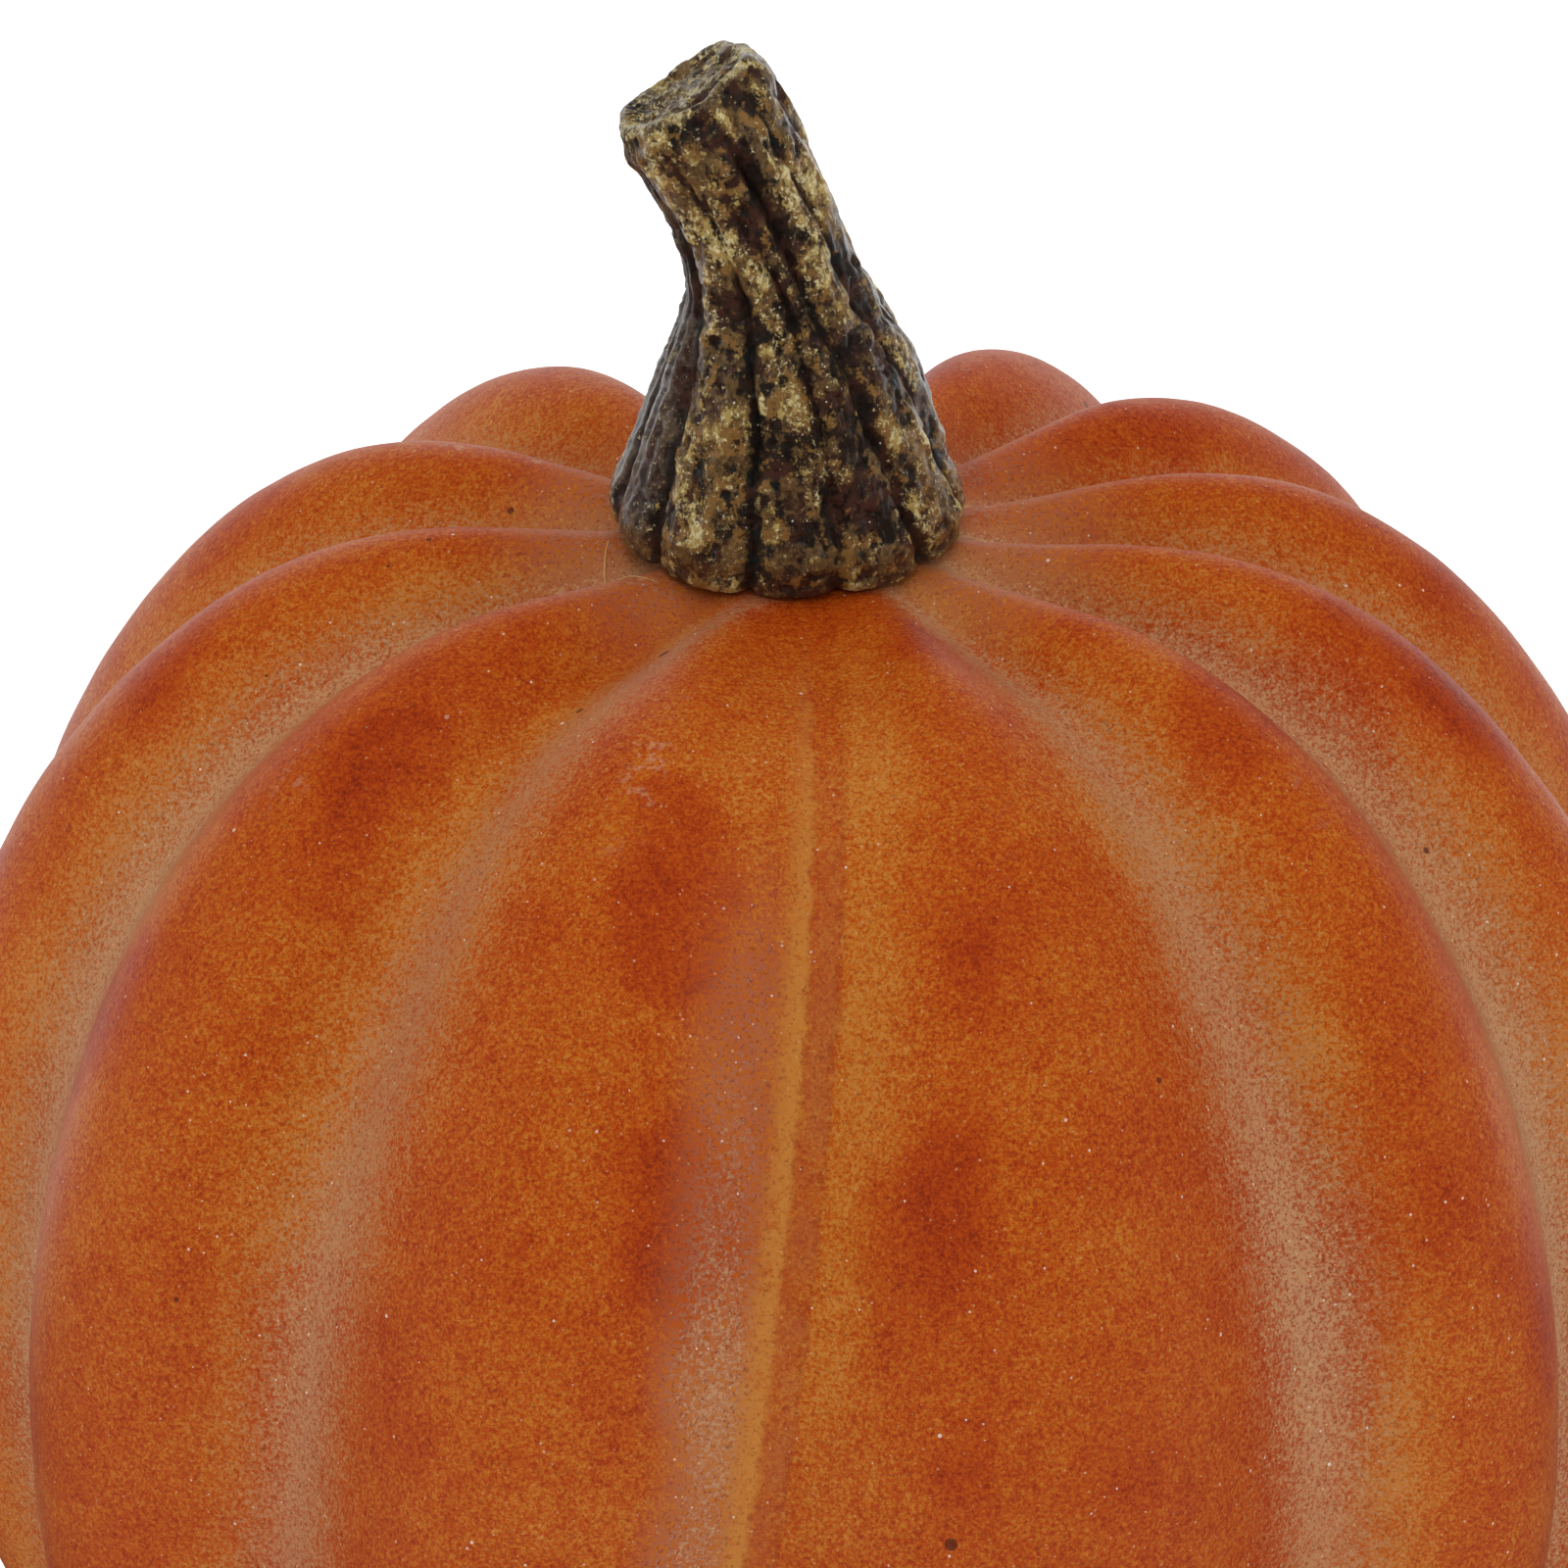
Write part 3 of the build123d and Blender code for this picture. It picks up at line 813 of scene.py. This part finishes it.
def stem_paint():
    """Near-black brown washed with maroon and ochre, gold dry-brushed on the high spots, under varnish."""
    p = Paint("dry_brushed_brown")
    relief = p.held("relief")
    crease = p.held("crease")
    gild = p.held("gild")
    left = p.held("left_side")
    blotch = p.noise(0.0055, 3, 0.6)
    patch = p.noise(0.0030, 7, 0.70, stretch=(1, 1, 0.7), shift=3.0)
    foil = p.noise(0.0021, 9, 0.74, stretch=(1, 1, 0.75), shift=6.0)
    speck = p.noise(0.00085, 6, 0.78, shift=9.0)
    base = p.mix(p.step(blotch, 0.40, 0.58), UMBER, MAROON)
    base = p.mix(p.step(p.noise(0.006, 4, 0.6, shift=12.0), 0.57, 0.64), base, GREEN_BLACK)
    high = p.sum(p.times(relief, 0.13), p.times(crease, -0.28))
    mid = p.sum(patch, high, p.times(gild, 0.04), p.times(left, -0.03))
    olive = p.ramp(speck, OLIVE)
    color = p.over(base, p.step(mid, 0.435, 0.495), 0.90, olive)
    warm = p.noise(0.0034, 8, 0.72, shift=15.0)
    warm = p.sum(warm, p.times(high, 0.7), p.times(gild, 0.05), p.times(left, -0.14))
    color = p.over(color, p.step(warm, 0.518, 0.545), 0.80, OCHRE_WASH)
    gold = p.sum(foil, p.times(high, 0.75), p.times(gild, 0.105), p.times(left, -0.05))
    color = p.over(color, p.step(gold, 0.568, 0.585), 0.95, GOLD)
    pale = p.sum(speck, p.times(foil, 0.25), p.times(high, 0.60), p.times(gild, 0.095))
    color = p.over(color, p.step(pale, 0.725, 0.743), 0.95, PALE_GOLD)
    pit = p.step(p.sum(p.noise(0.0019, 5, 0.7, shift=18.0), p.times(high, -0.4)), 0.60, 0.64)
    color = p.over(color, pit, 0.75, PIT_BLACK)
    # painted shade: the creases and the hole in the cut end darkened to near black
    color = p.over(color, p.step(crease, 0.40, 0.95), 0.80, CREASE_SHADE)
    # painted sheen: patches on the left side lightened to a greyish brown, standing for the left softbox's
    # reflection on its ribs
    patchy = p.times(left, p.step(p.sum(patch, p.times(relief, 0.12)), 0.42, 0.52))
    color = p.over(color, patchy, 0.60, LEFT_SHEEN_BROWN)
    # painted glints: tiny white dots standing in for the lights' reflections in the varnish
    glint = p.dots(0.0017, 0.35, 0.00012, 4.0)
    color = p.over(color, glint, 0.9, PAINTED_GLINT)
    rough = p.sum(p.line(patch, 0.30, 0.20), p.times(p.step(gold, 0.568, 0.585), 0.15))
    bump = p.sum(
        p.times(foil, 1.2),
        p.times(speck, 0.7),
        p.times(pit, -0.5),
        p.times(p.step(gold, 0.568, 0.585), 0.3),
    )
    p.shader.inputs["Specular IOR Level"].default_value = 0.60
    p.shader.inputs["Coat Weight"].default_value = 0.5
    p.shader.inputs["Coat Roughness"].default_value = 0.16
    return p.finish(color, rough, bump, 0.00055)


def glue():
    """Dried clear-brown glue."""
    p = Paint("dried_glue")
    cloud = p.noise(0.002, 3, 0.6)
    color = p.ramp(cloud, [(0.3, (0.055, 0.022, 0.008)), (0.7, (0.16, 0.075, 0.025))])
    return p.finish(color, p.line(cloud, 0.2, 0.2), cloud, 0.0003)


def dry_hair():
    """A pale amber thread of glue."""
    p = Paint("glue_thread")
    cloud = p.noise(0.001, 2, 0.6)
    color = p.ramp(cloud, [(0.3, (0.50, 0.26, 0.07)), (0.7, (0.66, 0.42, 0.16))])
    return p.finish(color, p.line(cloud, 0.2, 0.3), cloud, 0.0001)


def felt():
    """Dark brown felt."""
    p = Paint("brown_felt")
    hair = p.noise(0.0006, 4, 0.8, distortion=1.2)
    color = p.ramp(hair, [(0.3, (0.020, 0.013, 0.009)), (0.7, (0.085, 0.060, 0.042))])
    p.shader.inputs["Specular IOR Level"].default_value = 0.15
    return p.finish(color, p.line(hair, 0.1, 0.88), hair, 0.0005)


def white_floor():
    """A pale seamless floor, faintly uneven."""
    p = Paint("pale_floor")
    cloud = p.noise(0.35, 2, 0.5)
    color = p.ramp(cloud, [(0.3, (0.90, 0.90, 0.90)), (0.7, (0.94, 0.94, 0.94))])
    p.shader.inputs["Emission Color"].default_value = (1, 1, 1, 1)
    p.shader.inputs["Emission Strength"].default_value = FLOOR_GLOW
    return p.finish(color, p.line(cloud, 0.1, 0.85))


# ---- making ---------------------------------------------------------------------------------------
shell = build_shell()
shell.data.materials.append(orange_paint())
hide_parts("body_shell")
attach(shell, "root")
stem = build_stem()
stem.data.materials.append(stem_paint())
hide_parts("stem")
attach(stem, "root")
bead = build_glue()
hair = build_hair(shell)
for piece in (bead, hair):
    piece.data.materials.append(glue() if piece is bead else dry_hair())
    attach(piece, "root")
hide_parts("stem_adhesive")
soft = felt()
for number in (1, 2, 3, 4):
    pad = build_pad(number)
    pad.data.materials.append(soft)
    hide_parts(f"foot_pad_{number}")
    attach(pad, "root")

# ---- floor, light and camera -----------------------------------------------------------------------
FLOOR_GLOW = 0.45
FLOOR_REACH = 6
FLOOR_SPLIT = 0.2            # the mirrored stretch of the floor starts here, behind the object
ROOM_GLOW = 0.45
BODY_AIM = (0, 0, 0.15)
STEM_AIM = (0, 0, 0.27)
CAMERA_ELEVATION = 27.0      # degrees
CAMERA_DISTANCE = 1.526
CAMERA_LENS = 227.1          # millimetres, on a 36 mm sensor
CAMERA_AIM = Vector((-0.0041, 0, EQUATOR_Z + 0.0734))


def area_light(name, place, aim, size, power, mirrored):
    """A soft rectangle of light; the diffuse fills aren't mirrored in the varnish."""
    data = bpy.data.lights.new(name, "AREA")
    data.shape = "RECTANGLE"
    data.size, data.size_y = size
    data.energy = power
    lamp = bpy.data.objects.new(name, data)
    bpy.context.scene.collection.objects.link(lamp)
    lamp.location = place
    lamp.rotation_mode = "QUATERNION"
    lamp.rotation_quaternion = (Vector(aim) - Vector(place)).to_track_quat("-Z", "Y")
    lamp.visible_glossy = mirrored


def floor_part(name, near, far, mirrored):
    """One stretch of the floor in y; only the stretch behind the object is mirrored in its varnish."""
    mesh = bpy.data.meshes.new(name)
    side = FLOOR_REACH
    corners = [(-side, near, 0), (side, near, 0), (side, far, 0), (-side, far, 0)]
    mesh.from_pydata(corners, [], [(0, 1, 2, 3)])
    part = bpy.data.objects.new(name, mesh)
    bpy.context.scene.collection.objects.link(part)
    part.data.materials.append(pale)
    part.visible_glossy = mirrored


pale = white_floor()
floor_part("floor_front", -FLOOR_REACH, FLOOR_SPLIT, False)
floor_part("floor_back", FLOOR_SPLIT, FLOOR_REACH, True)

area_light("left_softbox", (-1.5, -0.15, 0.6), BODY_AIM, (0.9, 1.2), 3.5, False)
area_light("right_softbox", (1.5, -0.15, 0.6), BODY_AIM, (0.9, 1.2), 2.7, False)
area_light("front_fill", (0.2, -2.0, 1.9), BODY_AIM, (1.8, 1.2), 18, False)
area_light("backdrop", (0, 2.4, 0.8), BODY_AIM, (4.0, 1.5), 20, True)
area_light("top", (0, 0.4, 1.9), BODY_AIM, (1.6, 1.6), 12.5, False)
area_light("left_strip", (-1.2, -0.5, 0.8), STEM_AIM, (0.12, 0.9), 0.8, True)
area_light("right_strip", (1.2, -0.6, 0.8), STEM_AIM, (0.12, 0.9), 0.6, True)
area_light("top_strip", (0.1, -0.8, 1.5), STEM_AIM, (0.7, 0.12), 0.6, True)

world = bpy.data.worlds.new("white_room")
bpy.context.scene.world = world
world.use_nodes = True
world.node_tree.nodes["Background"].inputs["Color"].default_value = (1, 1, 1, 1)
world.node_tree.nodes["Background"].inputs["Strength"].default_value = ROOM_GLOW
world.cycles_visibility.glossy = False

camera_data = bpy.data.cameras.new("camera")
camera_data.lens = CAMERA_LENS
camera_data.sensor_width = 36
camera = bpy.data.objects.new("camera", camera_data)
bpy.context.scene.collection.objects.link(camera)
tilt = math.radians(CAMERA_ELEVATION)
camera.location = CAMERA_AIM + CAMERA_DISTANCE * Vector((0, -math.cos(tilt), math.sin(tilt)))
camera.rotation_mode = "QUATERNION"
camera.rotation_quaternion = (CAMERA_AIM - camera.location).to_track_quat("-Z", "Y")
bpy.context.scene.camera = camera
bpy.context.scene.view_settings.view_transform = "Standard"
